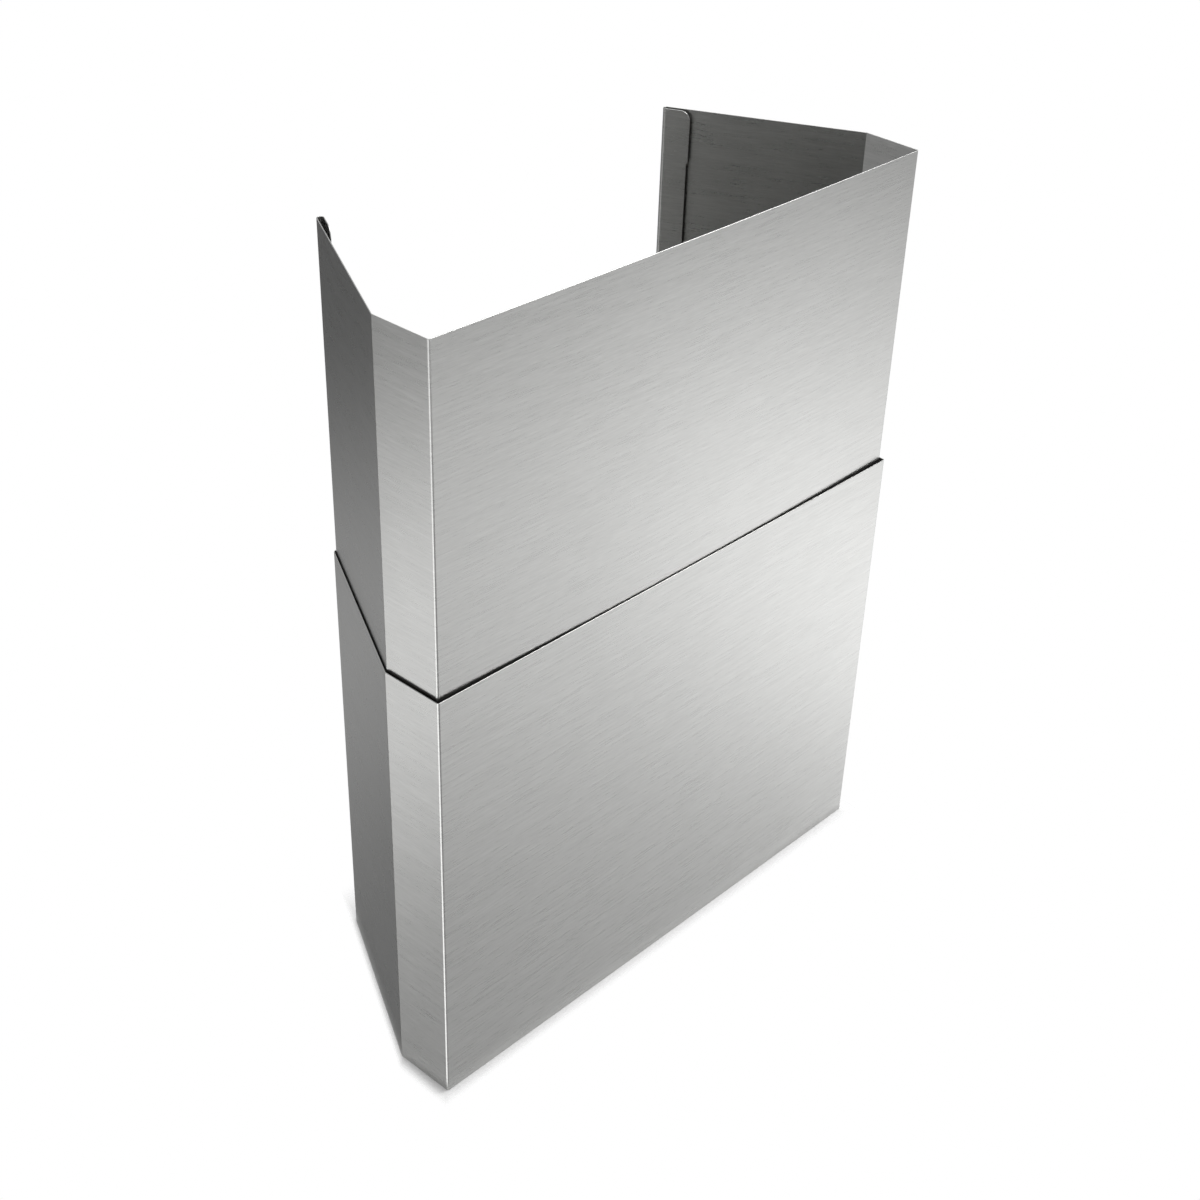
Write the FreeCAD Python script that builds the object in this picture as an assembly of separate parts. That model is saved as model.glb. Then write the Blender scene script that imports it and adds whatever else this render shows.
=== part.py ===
import FreeCAD, Part
import math
import os

# Chimney section of a cooker hood: two folded stainless sheets, open at the back, one sliding in the other.
# Millimetres and degrees. +Z is up, the front faces -Y and the open back stands against the wall at +Y.
# The origin is under the middle of the whole part, on the surface that the lower section stands on.

Vector = FreeCAD.Vector

# Sheet and folds
SHEET = 0.9                 # thickness of both sheets
BEND_RADIUS = 1.4           # inside radius of the upright folds

# Plan of the upper section, measured on its outer faces
FRONT_WIDTH = 600.0         # between the two front folds
RETURN_WIDTH = 62.0         # short panels that run back from the front
RETURN_SPLAY = 2.2          # degrees that each return leans outwards on its way back
SIDE_WIDTH = 199.0          # long panels, from the return to the rear edge
SIDE_ANGLE = 26.6           # degrees that each side closes in on its way back

# Heights
UPPER_LENGTH = 460.0
LOWER_LENGTH = 460.0
SHOWN_LENGTH = 325.0        # of the upper section, above the lower one's top edge

# Fit of the two sections
FOLD_GAP = 3.2              # between the two fronts, beside their folds
FRONT_GAP = 1.0             # between the two fronts at the middle, where the upper one bows further
RETURN_GAP = 2.3            # between their returns
SIDE_GAP = 1.2              # between their long sides
RUNNER_GAP = 0.4            # between their rear hems, where the upper one is guided
LOWER_CROWN = 0.6           # how far the lower front bows forward of its folds

# Open rear hems
UPPER_HEM_SLOT = 5.0        # clear width between the side and its turned-back flange
FLANGE_WIDTH = 28.0         # from the rear edge to the flange's free edge
FLANGE_CORNER = 10.0        # radius of the flange's free corners
STEP_DROP = 52.0            # height of the wider part at the top of the upper flange
STEP_DEPTH = 1.5            # how much narrower the upper flange is below that

UP = Vector(0, 0, 1)
FRONT_NORMAL = Vector(0, -1, 0)


def heading(degrees):
    """Direction in plan, turned from straight back towards the right."""
    turn = math.radians(degrees)
    return Vector(math.sin(turn), math.cos(turn), 0)


def outward(direction):
    """Normal on the right-hand side of a direction in plan."""
    return direction.cross(UP)


def unit(vector):
    return vector * (1 / vector.Length)


def mitre(first_normal, first_offset, second_normal, second_offset):
    """Shift of the corner between two panels when each moves out by its own offset."""
    turn = first_normal.dot(second_normal)
    first = (first_offset - second_offset * turn) / (1 - turn ** 2)
    second = (second_offset - first_offset * turn) / (1 - turn ** 2)
    return first_normal * first + second_normal * second


def mirrored(shape):
    return shape.mirror(Vector(0, 0, 0), Vector(1, 0, 0))


RETURN_WAY = heading(RETURN_SPLAY)
SIDE_WAY = heading(-SIDE_ANGLE)
RETURN_NORMAL = outward(RETURN_WAY)
SIDE_NORMAL = outward(SIDE_WAY)
FOLD_RADIUS = BEND_RADIUS + SHEET


class Section:
    """One folded sheet, given by the right half of its outer faces in plan."""

    def __init__(self, front_fold, side_fold, hem_centre, hem_radius, crown, length):
        self.hem_centre = hem_centre
        self.hem_radius = hem_radius
        self.length = length
        self.front_radius = (front_fold.x ** 2 + crown ** 2) / (2 * crown)
        self.front_centre = Vector(0, front_fold.y - crown + self.front_radius, 0)
        self.front_bend = self.bend_beside_front(front_fold)
        self.side_bend = side_fold - mitre(RETURN_NORMAL, FOLD_RADIUS, SIDE_NORMAL, FOLD_RADIUS)

    def bend_beside_front(self, front_fold):
        """Centre of the fold that touches both the bowed front and the return."""
        start = front_fold - RETURN_NORMAL * FOLD_RADIUS
        reach = start - self.front_centre
        along = reach.dot(RETURN_WAY)
        radius = self.front_radius - FOLD_RADIUS
        run = -along - math.sqrt(along ** 2 - reach.Length ** 2 + radius ** 2)
        return start + RETURN_WAY * run

    def half_path(self, depth):
        """Edges from the front fold to the flange's free edge, at a depth below the outer face."""
        fold = FOLD_RADIUS - depth
        hem = self.hem_radius - depth
        front_way = unit(self.front_bend - self.front_centre)
        points = [
            self.front_bend + front_way * fold,
            self.front_bend + RETURN_NORMAL * fold,
            self.side_bend + RETURN_NORMAL * fold,
            self.side_bend + SIDE_NORMAL * fold,
            self.hem_centre + SIDE_NORMAL * hem,
            self.hem_centre - SIDE_NORMAL * hem,
            self.free_edge(depth),
        ]
        arcs = {
            0: self.front_bend + unit(front_way + RETURN_NORMAL) * fold,
            2: self.side_bend + unit(RETURN_NORMAL + SIDE_NORMAL) * fold,
            4: self.hem_centre + SIDE_WAY * hem,
        }
        edges = []
        for place, (start, end) in enumerate(zip(points, points[1:])):
            if place in arcs:
                edges.append(Part.Arc(start, arcs[place], end).toShape())
            else:
                edges.append(Part.LineSegment(start, end).toShape())
        return edges

    def free_edge(self, depth):
        """Plan point on the flange's free edge, at a depth below the flange's outer face."""
        run = FLANGE_WIDTH - self.hem_radius
        return self.hem_centre - SIDE_NORMAL * (self.hem_radius - depth) - SIDE_WAY * run

    def front_arc(self, depth):
        """Edge along the bowed front, from fold to fold."""
        radius = self.front_radius - depth
        right = self.front_centre + unit(self.front_bend - self.front_centre) * radius
        left = Vector(-right.x, right.y, 0)
        return Part.Arc(left, self.front_centre + FRONT_NORMAL * radius, right).toShape()

    def sheet(self):
        """The folded sheet standing on z = 0, its flanges still square."""
        half = self.half_path(0) + self.half_path(SHEET)
        half.append(Part.LineSegment(self.free_edge(0), self.free_edge(SHEET)).toShape())
        edges = half + [mirrored(edge) for edge in half]
        edges += [self.front_arc(0), self.front_arc(SHEET)]
        outline = Part.Wire(Part.__sortEdges__(edges))
        return Part.Face(outline).extrude(UP * self.length)

    def flange_step(self, drop, depth):
        """Strip that comes off the right flange's free edge, from the bottom up to the step."""
        outer = self.free_edge(0)
        inner = outer + SIDE_NORMAL * SHEET
        strip = Part.makePolygon([outer, inner, inner + SIDE_WAY * depth, outer + SIDE_WAY * depth, outer])
        return Part.Face(strip).extrude(UP * (self.length - drop))

    def rounded(self, sheet):
        """The sheet with the free corners of both flanges rounded."""
        middle = self.hem_centre - SIDE_NORMAL * (self.hem_radius - SHEET / 2)
        corners = []
        for edge in sheet.Edges:
            centre = edge.CenterOfMass
            right = Vector(abs(centre.x), centre.y, 0)
            run = (middle - right).dot(SIDE_WAY)
            across = abs((middle - right).dot(SIDE_NORMAL))
            at_end = min(centre.z, self.length - centre.z) < SHEET / 2
            if at_end and across < SHEET / 4 and run > FLANGE_CORNER:
                corners.append(edge)
        return sheet.makeFillet(FLANGE_CORNER, corners)


def upper_and_lower():
    """Both sections as drawn, in plan with the upper front's folds on y = 0."""
    upper_hem = UPPER_HEM_SLOT / 2 + SHEET
    lower_hem = upper_hem + (SIDE_GAP + RUNNER_GAP) / 2 + SHEET
    upper_crown = LOWER_CROWN + FOLD_GAP - FRONT_GAP
    front_out = FOLD_GAP + SHEET
    return_out = RETURN_GAP + SHEET
    side_out = SIDE_GAP + SHEET
    front_fold = Vector(FRONT_WIDTH / 2, 0, 0)
    side_fold = front_fold + RETURN_WAY * RETURN_WIDTH
    hem_centre = side_fold + SIDE_WAY * (SIDE_WIDTH - upper_hem) - SIDE_NORMAL * upper_hem
    upper = Section(front_fold, side_fold, hem_centre, upper_hem, upper_crown, UPPER_LENGTH)
    lower = Section(
        front_fold + mitre(FRONT_NORMAL, front_out, RETURN_NORMAL, return_out),
        side_fold + mitre(RETURN_NORMAL, return_out, SIDE_NORMAL, side_out),
        hem_centre + SIDE_NORMAL * ((SIDE_GAP - RUNNER_GAP) / 2),
        lower_hem,
        LOWER_CROWN,
        LOWER_LENGTH,
    )
    return upper, lower


def main():
    upper, lower = upper_and_lower()
    step = upper.flange_step(STEP_DROP, STEP_DEPTH)
    upper_sheet = upper.rounded(upper.sheet().cut(step).cut(mirrored(step)))
    lower_sheet = lower.rounded(lower.sheet())

    front = lower.front_centre.y - lower.front_radius
    rear = lower.hem_centre.y + lower.hem_radius
    middle = Vector(0, -(front + rear) / 2, 0)
    lower_sheet.translate(middle)
    upper_sheet.translate(middle + UP * (LOWER_LENGTH + SHOWN_LENGTH - UPPER_LENGTH))

    os.makedirs("parts", exist_ok=True)
    lower_sheet.exportStep("parts/lower_section.step")
    upper_sheet.exportStep("parts/upper_section.step")


main()
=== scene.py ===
import math
from collections import namedtuple

import bmesh
import bpy
from mathutils import Matrix, Vector


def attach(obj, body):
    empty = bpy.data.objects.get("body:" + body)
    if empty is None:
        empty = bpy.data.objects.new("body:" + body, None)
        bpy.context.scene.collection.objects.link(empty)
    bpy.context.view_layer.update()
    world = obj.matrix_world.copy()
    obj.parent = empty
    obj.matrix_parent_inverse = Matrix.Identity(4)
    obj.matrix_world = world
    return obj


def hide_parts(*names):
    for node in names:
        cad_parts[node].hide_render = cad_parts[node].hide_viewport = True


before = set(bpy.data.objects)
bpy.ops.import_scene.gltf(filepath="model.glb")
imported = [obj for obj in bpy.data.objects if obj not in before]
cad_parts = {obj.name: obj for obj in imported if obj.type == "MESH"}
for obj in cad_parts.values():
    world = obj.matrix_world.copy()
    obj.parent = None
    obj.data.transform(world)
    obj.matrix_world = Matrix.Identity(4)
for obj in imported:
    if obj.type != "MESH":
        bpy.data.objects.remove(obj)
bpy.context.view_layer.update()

# Looks of a cooker hood's telescopic chimney section: two folded sheets of brushed stainless steel.
# Metres and degrees. +Z is up, the front faces -Y and the open back faces +Y.
# Headings and azimuths turn from +X towards +Y.

# Sheet and folds
SHEET = 0.0009              # thickness of both sheets
FOLD_RADIUS = 0.0023        # outer radius of the upright folds
EDGE_ROUND = 0.00035        # rounding of the deburred edges
EDGE_ANGLE = 60.0           # edges sharper than this are deburred
MERGE_DISTANCE = 1e-6       # joins a sheet's two mirrored halves

# Plan of the upper section, measured on its outer faces
FRONT_WIDTH = 0.600         # between the two front folds
RETURN_WIDTH = 0.062        # short panels that run back from the front
RETURN_HEADING = 87.8       # of the right-hand return on its way back
SIDE_WIDTH = 0.199          # long panels, from the return to the rear edge
SIDE_HEADING = 116.6        # of the right-hand side on its way back

# Heights
SECTION_LENGTH = 0.460      # of each section
SHOWN_LENGTH = 0.325        # of the upper section, above the lower one's top edge

# Fit of the two sections
FOLD_GAP = 0.0032           # between the two fronts, beside their folds
FRONT_GAP = 0.0010          # between the two fronts at the middle, where the upper one bows further
RETURN_GAP = 0.0023         # between their returns
SIDE_GAP = 0.0012           # between their long sides
RUNNER_GAP = 0.0004         # between their rear hems
LOWER_BOW = 0.0006          # how far the lower front bows forward of its folds
UPPER_BOW = LOWER_BOW + FOLD_GAP - FRONT_GAP

# Open rear hems
HEM_SLOT = 0.005            # clear width between the upper side and its turned-back flange
FLANGE_WIDTH = 0.028        # from the rear edge to the flange's free edge
FLANGE_CORNER = 0.010       # radius of the flange's free corners
STEP_DROP = 0.052           # height of the wider part at the top of the upper flange
STEP_DEPTH = 0.0015         # how much narrower the upper flange is below that

# Facets along each round stretch
BOW_FACETS = 12             # half of the front
FRONT_FOLD_FACETS = 10
SIDE_FOLD_FACETS = 5
HEM_FACETS = 24
CORNER_FACETS = 8
EDGE_FACETS = 2

# Angles that the plan turns through, in radians
SPLAY = math.radians(90.0 - RETURN_HEADING)
SIDE_TURN = math.radians(SIDE_HEADING - RETURN_HEADING)
SIDE_CLOSING = math.radians(SIDE_HEADING - 90.0)

# Brushed stainless steel
STEEL_COLOUR = (0.500, 0.501, 0.492)
STEEL_TONES = (0.86, 1.12)      # darkest and lightest brush marks, as shares of the colour
STEEL_ROUGHNESS = 0.28
ROUGHNESS_SWING = 0.015
STEEL_ANISOTROPY = 0.4
QUARTER_TURN = 0.25             # lays the shader's grain along the brush marks
MARK_STRETCH = 22.0             # how much longer than high the brush marks are
FINE_MARKS = 85.0               # to the metre, along the panel
BROAD_MARKS = 18.0
BROAD_SHARE = 0.42
CLOUDS = 30.0                   # soft patches to the metre
CLOUD_SHARE = 0.2
NOISE_SPAN = (0.3, 0.7)         # part of the noise's range that the marks use

# Photograph's frame: image size in pixels, focal length in those pixels, and where the camera stood
IMAGE_SIZE = 1200
FOCAL_PIXELS = 1840.266
CAMERA_PLACE = (-1.095482, -1.044440, 1.363921)
CAMERA_AZIMUTH = -46.782        # from straight in front, towards the right
CAMERA_ELEVATION = 33.364
CAMERA_ROLL = 1.919
SENSOR_WIDTH = 36.0             # millimetres

# Floor, fading out past each side of the part: the side's normal on the right half, its distance from the
# middle and the width of the fade
FloorSide = namedtuple("FloorSide", "normal distance fade")
FLOOR_COLOUR = (0.95, 0.95, 0.95, 1.0)
FLOOR_HALF = 0.5
FLOOR_SIDES = (
    FloorSide((0.0, -1.0, 0.0), 0.121, 0.015),
    FloorSide((0.0, 1.0, 0.0), 0.122, 0.050),
    FloorSide((1.0, 0.0, 0.0), 0.304, 0.015),
    FloorSide((0.894, 0.447, 0.0), 0.245, 0.009),
)

# Lamps
Softbox = namedtuple("Softbox", "name place target size watts")
SOFTBOXES = (
    Softbox("overhead_softbox", (0.4, 0.3, 2.6), (0.0, 0.0, 0.3), 1.8, 22.0),
    Softbox("side_softbox", (1.22, -0.45, 2.15), (0.0, -0.1, 0.5), 1.0, 26.0),
)

# White backdrop: normals of the two planes that bound it, and half the width of each soft edge
BACKDROP_LEFT = (0.8601, -0.4857, -0.1559)
BACKDROP_LEFT_EDGE = 0.02
BACKDROP_RIGHT = (0.1908, 0.9816, 0.0)
BACKDROP_RIGHT_EDGE = 0.05
BACKDROP_LEVEL = 1.0

# Surroundings that the steel mirrors. A rise is the sine of an elevation.
# A stretch is full within one angle of its azimuth, gone past another, and lies between two rises.
Stretch = namedtuple("Stretch", "azimuth full gone lowest highest")
LOWEST_EDGE = (-0.06, 0.05)
HIGHEST_EDGE = 0.09
PALE_LEVEL = 1.0
LIT_STRETCH = Stretch(192.0, 26.0, 36.0, -0.82, -0.40)
LIT_LEVEL = 1.25
DIM_STRETCHES = (
    Stretch(-42.0, 22.0, 32.0, -0.82, -0.01),
    Stretch(107.0, 41.0, 52.0, -0.82, -0.20),
    Stretch(166.0, 20.0, 28.0, -0.47, -0.01),
    Stretch(254.0, 28.0, 38.0, -0.82, -0.40),
)
DIM_LEVEL = 0.306

# Lighter band below the horizon, with the azimuth about which the dim stretches have none
BAND_RISE = -0.55
BAND_HALF = 0.142
PALE_BAND = 0.88
DIM_BAND = 1.066
BAND_BREAK = 252.0
BAND_BREAK_EDGE = (0.74, 0.86)  # cosines of the angle from that azimuth

# Deeper shade behind the left of the part, and the darker sky
SHADE_AZIMUTH = 80.0
SHADE_EDGE = (0.64, 0.74)       # cosines of the angle from that azimuth
SHADE_SHARE = 0.31
SKY_EDGE = (0.08, 0.42)         # rises
SKY_SHARE = 0.47

# Soft round glows in the dim stretches, the last one a shadow
Glow = namedtuple("Glow", "azimuth elevation radius level")
GLOWS = (
    Glow(-32.0, -28.6, 12.2, 1.06),
    Glow(-46.0, -26.0, 11.0, 0.26),
    Glow(-38.0, -47.5, 9.5, 0.27),
    Glow(135.0, -35.0, 8.0, 0.91),
    Glow(143.0, -18.0, 10.0, -0.28),
)


def compass(azimuth, elevation=0.0):
    """Direction at an azimuth and an elevation."""
    turn = math.radians(azimuth)
    tilt = math.radians(elevation)
    return Vector((math.cos(turn) * math.cos(tilt), math.sin(turn) * math.cos(tilt), math.sin(tilt)))


def cosine(degrees):
    return math.cos(math.radians(degrees))


class SectionPlan:
    """Plan of one sheet's outer face: the bow, the straight runs and the hem of its right half."""

    def __init__(self, front, half_width, bow, return_width, side_width, hem_radius):
        self.front = front
        self.hem_radius = hem_radius
        self.bow_radius = (half_width ** 2 + bow ** 2) / (2.0 * bow)

        # The front fold touches the bow and the return, so its centre lies on a ring round the bow's centre
        ahead = self.bow_radius - bow
        ring = self.bow_radius - FOLD_RADIUS
        reach = half_width * math.cos(SPLAY) + ahead * math.sin(SPLAY) - FOLD_RADIUS
        self.bow_heading = RETURN_HEADING - math.degrees(math.acos(reach / ring))

        corner_ahead = ahead * math.cos(SPLAY) - half_width * math.sin(SPLAY)
        front_setback = corner_ahead - math.sqrt(ring ** 2 - reach ** 2)
        side_setback = FOLD_RADIUS * math.tan(SIDE_TURN / 2.0)
        self.return_run = return_width - front_setback - side_setback
        self.side_run = side_width - side_setback - hem_radius


def section_plans():
    """Plans of the lower and the upper section, the lower one drawn round the upper one."""
    front_out = FOLD_GAP + SHEET
    return_out = RETURN_GAP + SHEET
    side_out = SIDE_GAP + SHEET

    # How far the lower section's corners stand out and back from the upper one's
    corner_out = (return_out - front_out * math.sin(SPLAY)) / math.cos(SPLAY)
    corner_back = corner_out * math.sin(SPLAY) - front_out * math.cos(SPLAY)
    fold_back = (side_out - return_out * math.cos(SIDE_TURN)) / math.sin(SIDE_TURN)
    side_back = fold_back * math.cos(SIDE_TURN) - return_out * math.sin(SIDE_TURN)

    # The lower hem wraps the upper one, and the whole depth is centred on the origin
    upper_hem = HEM_SLOT / 2.0 + SHEET
    lower_hem = upper_hem + (SIDE_GAP + RUNNER_GAP) / 2.0 + SHEET
    hem_run = SIDE_WIDTH - upper_hem
    hem_inset = upper_hem - (SIDE_GAP - RUNNER_GAP) / 2.0
    side_rear = hem_run * math.cos(SIDE_CLOSING) - hem_inset * math.sin(SIDE_CLOSING)
    rear = RETURN_WIDTH * math.cos(SPLAY) + side_rear + lower_hem
    lower_front = -(front_out + LOWER_BOW + rear) / 2.0

    lower = SectionPlan(
        lower_front,
        FRONT_WIDTH / 2.0 + corner_out,
        LOWER_BOW,
        RETURN_WIDTH + fold_back - corner_back,
        hem_run - side_back + lower_hem,
        lower_hem,
    )
    upper_front = lower_front + SHEET + FRONT_GAP
    upper = SectionPlan(upper_front, FRONT_WIDTH / 2.0, UPPER_BOW, RETURN_WIDTH, SIDE_WIDTH, upper_hem)
    return lower, upper


class FoldLine:
    """Plan line of a folded sheet's outer face, drawn from the middle of the front round to the flange."""

    def __init__(self, bm, start):
        self.bm = bm
        self.tip = bm.verts.new(start)
        self.heading = 0.0

    def run(self, length):
        tip = bmesh.ops.extrude_vert_indiv(self.bm, verts=[self.tip])["verts"][0]
        bmesh.ops.translate(self.bm, verts=[tip], vec=compass(self.heading) * length)
        self.tip = tip

    def bend_to(self, heading, radius, facets):
        centre = self.tip.co + compass(self.heading + 90.0) * radius
        turn = math.radians(heading - self.heading)
        made = bmesh.ops.spin(
            self.bm, geom=[self.tip], cent=centre, axis=(0.0, 0.0, 1.0), angle=turn, steps=facets
        )
        self.tip = next(item for item in made["geom_last"] if isinstance(item, bmesh.types.BMVert))
        self.heading = heading


def folded_sheet(name, plan, bottom, lifts):
    """One sheet: front, returns, sides and open rear hems, raised in one lift or, with a step, in two."""
    bm = bmesh.new()
    line = FoldLine(bm, (0.0, plan.front, bottom))
    line.bend_to(plan.bow_heading, plan.bow_radius, BOW_FACETS)
    line.bend_to(RETURN_HEADING, FOLD_RADIUS, FRONT_FOLD_FACETS)
    line.run(plan.return_run)
    line.bend_to(SIDE_HEADING, FOLD_RADIUS, SIDE_FOLD_FACETS)
    line.run(plan.side_run)
    line.bend_to(SIDE_HEADING + 180.0, plan.hem_radius, HEM_FACETS)
    line.run(FLANGE_WIDTH - plan.hem_radius)
    free_edge = line.tip.co.xy

    rising = bm.edges[:]
    for lift in lifts:
        made = bmesh.ops.extrude_edge_only(bm, edges=rising)["geom"]
        rising = [item for item in made if isinstance(item, bmesh.types.BMEdge)]
        raised = [item for item in made if isinstance(item, bmesh.types.BMVert)]
        bmesh.ops.translate(bm, verts=raised, vec=(0.0, 0.0, lift))
    if len(lifts) > 1:
        narrow_flange(bm, line.tip, compass(line.heading))
    round_flange(bm, free_edge, (bottom, bottom + sum(lifts)))

    bmesh.ops.mirror(bm, geom=bm.verts[:] + bm.edges[:] + bm.faces[:], axis="X", merge_dist=MERGE_DISTANCE)
    bmesh.ops.recalc_face_normals(bm, faces=bm.faces[:])
    front = min(bm.faces, key=lambda face: face.calc_center_median().y)
    if front.normal.y > 0.0:
        bmesh.ops.reverse_faces(bm, faces=bm.faces[:])
    for face in bm.faces:
        face.smooth = True

    mesh = bpy.data.meshes.new(name)
    bm.to_mesh(mesh)
    bm.free()
    piece = bpy.data.objects.new(name, mesh)
    bpy.context.scene.collection.objects.link(piece)
    give_thickness(piece)
    return piece


def narrow_flange(bm, foot, along_flange):
    """Takes a strip off the flange's free edge, from its foot up to the step."""
    panel = foot.link_faces[0]
    bmesh.ops.bisect_plane(
        bm,
        geom=[panel] + panel.edges[:] + panel.verts[:],
        plane_co=foot.co - along_flange * STEP_DEPTH,
        plane_no=along_flange,
    )
    strip = foot.link_faces[0]
    bmesh.ops.delete(bm, geom=[strip], context="FACES")


def round_flange(bm, free_edge, ends):
    """Rounds the free corners at both ends of the flange, on its free edge or the step's depth behind it."""
    corners = [
        vert
        for vert in bm.verts
        if (vert.co.xy - free_edge).length < 2.0 * STEP_DEPTH
        and min(abs(vert.co.z - end) for end in ends) < SHEET
    ]
    bmesh.ops.bevel(
        bm, geom=corners, offset=FLANGE_CORNER, offset_type="OFFSET", affect="VERTICES",
        segments=CORNER_FACETS, profile=0.5, material=-1,
    )


def give_thickness(piece):
    """Thickens the outer face inwards, deburrs the cut edges and keeps the panels flat."""
    wall = piece.modifiers.new("sheet_thickness", "SOLIDIFY")
    wall.thickness = SHEET
    wall.offset = -1.0
    wall.use_even_offset = True
    edges = piece.modifiers.new("deburred_edges", "BEVEL")
    edges.width = EDGE_ROUND
    edges.segments = EDGE_FACETS
    edges.limit_method = "ANGLE"
    edges.angle_limit = math.radians(EDGE_ANGLE)
    piece.modifiers.new("flat_panels", "WEIGHTED_NORMAL")


class Nodes:
    """Short way to place and join the nodes of one tree."""

    def __init__(self, tree):
        self.tree = tree
        tree.nodes.clear()

    def add(self, kind, settings=None, **inputs):
        node = self.tree.nodes.new(kind)
        for name, value in (settings or {}).items():
            setattr(node, name, value)
        for name, value in inputs.items():
            self.feed(node.inputs[name.replace("_", " ")], value)
        return node

    def feed(self, socket, value):
        if isinstance(value, bpy.types.NodeSocket):
            self.tree.links.new(value, socket)
        else:
            socket.default_value = value

    def math(self, operation, first, second=0.0):
        node = self.add("ShaderNodeMath", {"operation": operation})
        self.feed(node.inputs[0], first)
        self.feed(node.inputs[1], second)
        return node.outputs[0]

    def vector(self, operation, first, second=(0.0, 0.0, 0.0)):
        node = self.add("ShaderNodeVectorMath", {"operation": operation})
        self.feed(node.inputs[0], first)
        self.feed(node.inputs[1], second)
        return node.outputs["Value" if operation == "DOT_PRODUCT" else "Vector"]

    def mix(self, share, first, second):
        node = self.add("ShaderNodeMix", {"data_type": "FLOAT"})
        for place, item in zip((0, 2, 3), (share, first, second)):
            self.feed(node.inputs[place], item)
        return node.outputs[0]

    def ramp(self, value, low, high, to_low=0.0, to_high=1.0, curve="SMOOTHSTEP"):
        node = self.add("ShaderNodeMapRange", {"interpolation_type": curve})
        for place, item in enumerate((value, low, high, to_low, to_high)):
            self.feed(node.inputs[place], item)
        return node.outputs[0]

    def noise(self, place, scale, detail, roughness):
        node = self.add("ShaderNodeTexNoise", Vector=place, Scale=scale, Detail=detail, Roughness=roughness)
        return node.outputs["Fac"]


def brushed_steel():
    """Stainless steel with brush marks across each panel, in its tone and its roughness."""
    material = bpy.data.materials.new("brushed_stainless_finish")
    material.use_nodes = True
    nodes = Nodes(material.node_tree)
    place = nodes.add("ShaderNodeTexCoord").outputs["Object"]

    along = nodes.vector("MULTIPLY", place, (1.0, 1.0, MARK_STRETCH))
    fine = nodes.noise(along, FINE_MARKS, detail=3.0, roughness=0.6)
    broad = nodes.noise(along, BROAD_MARKS, detail=2.0, roughness=0.5)
    marks = nodes.mix(BROAD_SHARE, fine, broad)
    tone = nodes.ramp(marks, *NOISE_SPAN, *STEEL_TONES, "LINEAR")
    colour = nodes.add("ShaderNodeVectorMath", {"operation": "SCALE"}, Vector=STEEL_COLOUR, Scale=tone)

    clouds = nodes.noise(place, CLOUDS, detail=2.0, roughness=0.5)
    patches = nodes.mix(CLOUD_SHARE, marks, clouds)
    smoothest = STEEL_ROUGHNESS - ROUGHNESS_SWING
    roughest = STEEL_ROUGHNESS + ROUGHNESS_SWING
    roughness = nodes.ramp(patches, *NOISE_SPAN, smoothest, roughest, "LINEAR")

    shader = nodes.add(
        "ShaderNodeBsdfPrincipled",
        Base_Color=colour.outputs["Vector"],
        Roughness=roughness,
        Metallic=1.0,
        Anisotropic=STEEL_ANISOTROPY,
        Anisotropic_Rotation=QUARTER_TURN,
    )
    nodes.add("ShaderNodeOutputMaterial", Surface=shader.outputs["BSDF"])
    return material


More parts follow.
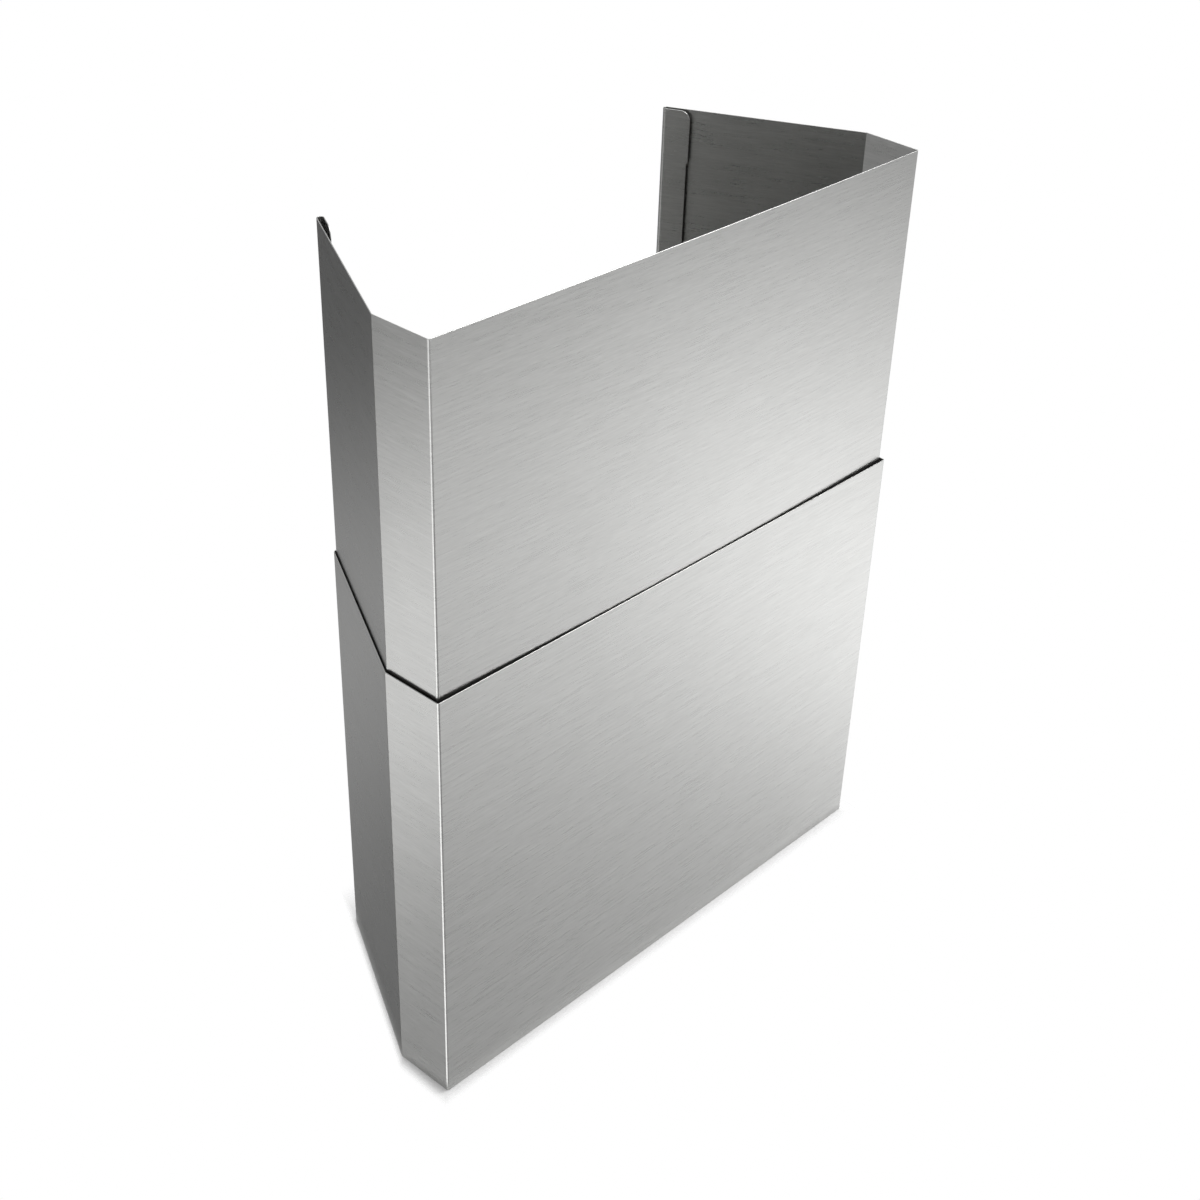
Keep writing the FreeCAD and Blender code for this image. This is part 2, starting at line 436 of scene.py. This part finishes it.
class Surroundings:
    """Studio round the part, as levels of light by direction."""

    def __init__(self, tree):
        self.nodes = Nodes(tree)
        self.way = self.nodes.add("ShaderNodeTexCoord").outputs["Generated"]
        self.rise = self.nodes.add("ShaderNodeSeparateXYZ", Vector=self.way).outputs["Z"]
        flat = self.nodes.vector("MULTIPLY", self.way, (1.0, 1.0, 0.0))
        self.level_way = self.nodes.vector("NORMALIZE", flat)
        off_band = self.nodes.math("ABSOLUTE", self.nodes.math("SUBTRACT", self.rise, BAND_RISE))
        self.band = self.nodes.ramp(off_band, BAND_HALF, 0.0)

    def towards(self, azimuth):
        """Cosine of the angle in plan from an azimuth."""
        return self.nodes.vector("DOT_PRODUCT", self.level_way, compass(azimuth))

    def share(self, stretch):
        """How much of a soft-edged stretch lies in each direction, from none to all."""
        nodes = self.nodes
        across = nodes.ramp(self.towards(stretch.azimuth), cosine(stretch.gone), cosine(stretch.full))
        fade_in, fade_full = LOWEST_EDGE
        above = nodes.ramp(self.rise, stretch.lowest + fade_in, stretch.lowest + fade_full)
        below = nodes.ramp(self.rise, stretch.highest + HIGHEST_EDGE, stretch.highest - HIGHEST_EDGE)
        return nodes.math("MULTIPLY", across, nodes.math("MULTIPLY", above, below))

    def pale(self):
        """Pale room with its band and one lit stretch below the horizon."""
        nodes = self.nodes
        lit = nodes.math("MULTIPLY", self.share(LIT_STRETCH), LIT_LEVEL)
        lit = nodes.math("MAXIMUM", lit, nodes.math("MULTIPLY", self.band, PALE_BAND))
        return nodes.math("ADD", lit, PALE_LEVEL)

    def dim(self):
        """Dim room with its band, the deeper shade and the glows."""
        nodes = self.nodes
        band_level = nodes.ramp(self.towards(BAND_BREAK), *BAND_BREAK_EDGE, DIM_BAND, 0.0)
        dim = nodes.math("ADD", nodes.math("MULTIPLY", self.band, band_level), DIM_LEVEL)
        shade = nodes.ramp(self.towards(SHADE_AZIMUTH), *SHADE_EDGE, 1.0, SHADE_SHARE)
        dim = nodes.math("MULTIPLY", dim, shade)
        for glow in GLOWS:
            aim = nodes.vector("DOT_PRODUCT", self.way, compass(glow.azimuth, glow.elevation))
            dim = nodes.math("ADD", dim, nodes.ramp(aim, cosine(glow.radius), 1.0, 0.0, glow.level))
        return dim

    def backdrop_share(self):
        """Where the white backdrop stands, from none to all."""
        sides = []
        for plane, edge in ((BACKDROP_LEFT, BACKDROP_LEFT_EDGE), (BACKDROP_RIGHT, BACKDROP_RIGHT_EDGE)):
            inside = self.nodes.vector("DOT_PRODUCT", self.way, plane)
            sides.append(self.nodes.ramp(inside, -edge, edge))
        return self.nodes.math("MULTIPLY", *sides)


def studio_surroundings():
    """White backdrop behind the part, and pale and dim stretches round it for the steel to mirror."""
    world = bpy.data.worlds.new("studio")
    bpy.context.scene.world = world
    world.use_nodes = True
    studio = Surroundings(world.node_tree)
    nodes = studio.nodes

    dim_share = 0.0
    for stretch in DIM_STRETCHES:
        dim_share = nodes.math("MAXIMUM", dim_share, studio.share(stretch))
    room = nodes.mix(dim_share, studio.pale(), studio.dim())
    around = nodes.mix(studio.backdrop_share(), room, BACKDROP_LEVEL)
    sky = nodes.ramp(studio.rise, *SKY_EDGE, 1.0, SKY_SHARE)
    light = nodes.math("MULTIPLY", around, sky)
    background = nodes.add("ShaderNodeBackground", Color=light, Strength=1.0)
    nodes.add("ShaderNodeOutputWorld", Surface=background.outputs[0])


def pale_floor():
    """Floor round the foot of the part, fading out into the surroundings."""
    mesh = bpy.data.meshes.new("floor")
    bm = bmesh.new()
    bmesh.ops.create_grid(bm, x_segments=1, y_segments=1, size=FLOOR_HALF)
    bm.to_mesh(mesh)
    bm.free()
    floor = bpy.data.objects.new("floor", mesh)
    bpy.context.scene.collection.objects.link(floor)

    material = bpy.data.materials.new("pale_floor")
    material.use_nodes = True
    nodes = Nodes(material.node_tree)
    place = nodes.add("ShaderNodeTexCoord").outputs["Object"]
    spot = nodes.add("ShaderNodeSeparateXYZ", Vector=place).outputs
    aside = nodes.math("ABSOLUTE", spot["X"])
    right_half = nodes.add("ShaderNodeCombineXYZ", X=aside, Y=spot["Y"]).outputs[0]
    fade = 0.0
    for side in FLOOR_SIDES:
        past = nodes.math("SUBTRACT", nodes.vector("DOT_PRODUCT", right_half, side.normal), side.distance)
        fade = nodes.math("MAXIMUM", fade, nodes.ramp(past, 0.0, side.fade))
    paint = nodes.add("ShaderNodeBsdfDiffuse", Color=FLOOR_COLOUR).outputs[0]
    clear = nodes.add("ShaderNodeBsdfTransparent").outputs[0]
    mix = nodes.add("ShaderNodeMixShader")
    for socket, value in zip(mix.inputs, (fade, paint, clear)):
        nodes.feed(socket, value)
    nodes.add("ShaderNodeOutputMaterial", Surface=mix.outputs[0])
    mesh.materials.append(material)


def soft_lamp(softbox):
    light = bpy.data.lights.new(softbox.name, "AREA")
    light.shape = "SQUARE"
    light.size = softbox.size
    light.energy = softbox.watts
    lamp = bpy.data.objects.new(softbox.name, light)
    lamp.location = softbox.place
    aim = Vector(softbox.target) - Vector(softbox.place)
    lamp.rotation_euler = aim.to_track_quat("-Z", "Y").to_euler()
    bpy.context.scene.collection.objects.link(lamp)


def photograph_camera():
    """Camera where the photograph's stood, aimed and rolled as it was."""
    back = compass(CAMERA_AZIMUTH - 90.0, CAMERA_ELEVATION)
    right = Vector((0.0, 0.0, 1.0)).cross(back).normalized()
    up = back.cross(right)
    turn = Matrix((right, up, back)).transposed() @ Matrix.Rotation(math.radians(CAMERA_ROLL), 3, "Z")
    lens = bpy.data.cameras.new("photograph_camera")
    lens.sensor_fit = "HORIZONTAL"
    lens.sensor_width = SENSOR_WIDTH
    lens.lens = FOCAL_PIXELS / IMAGE_SIZE * SENSOR_WIDTH
    camera = bpy.data.objects.new("photograph_camera", lens)
    camera.matrix_world = Matrix.Translation(CAMERA_PLACE) @ turn.to_4x4()
    bpy.context.scene.collection.objects.link(camera)
    bpy.context.scene.camera = camera


steel = brushed_steel()
lower_plan, upper_plan = section_plans()
for body, plan, bottom, lifts in (
    ("lower", lower_plan, 0.0, (SECTION_LENGTH,)),
    ("upper", upper_plan, SHOWN_LENGTH, (SECTION_LENGTH - STEP_DROP, STEP_DROP)),
):
    sheet = folded_sheet(body + "_sheet", plan, bottom, lifts)
    sheet.data.materials.append(steel)
    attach(sheet, body)
    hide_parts(body + "_section")

studio_surroundings()
pale_floor()
for softbox in SOFTBOXES:
    soft_lamp(softbox)
photograph_camera()
bpy.context.scene.view_settings.view_transform = "Standard"
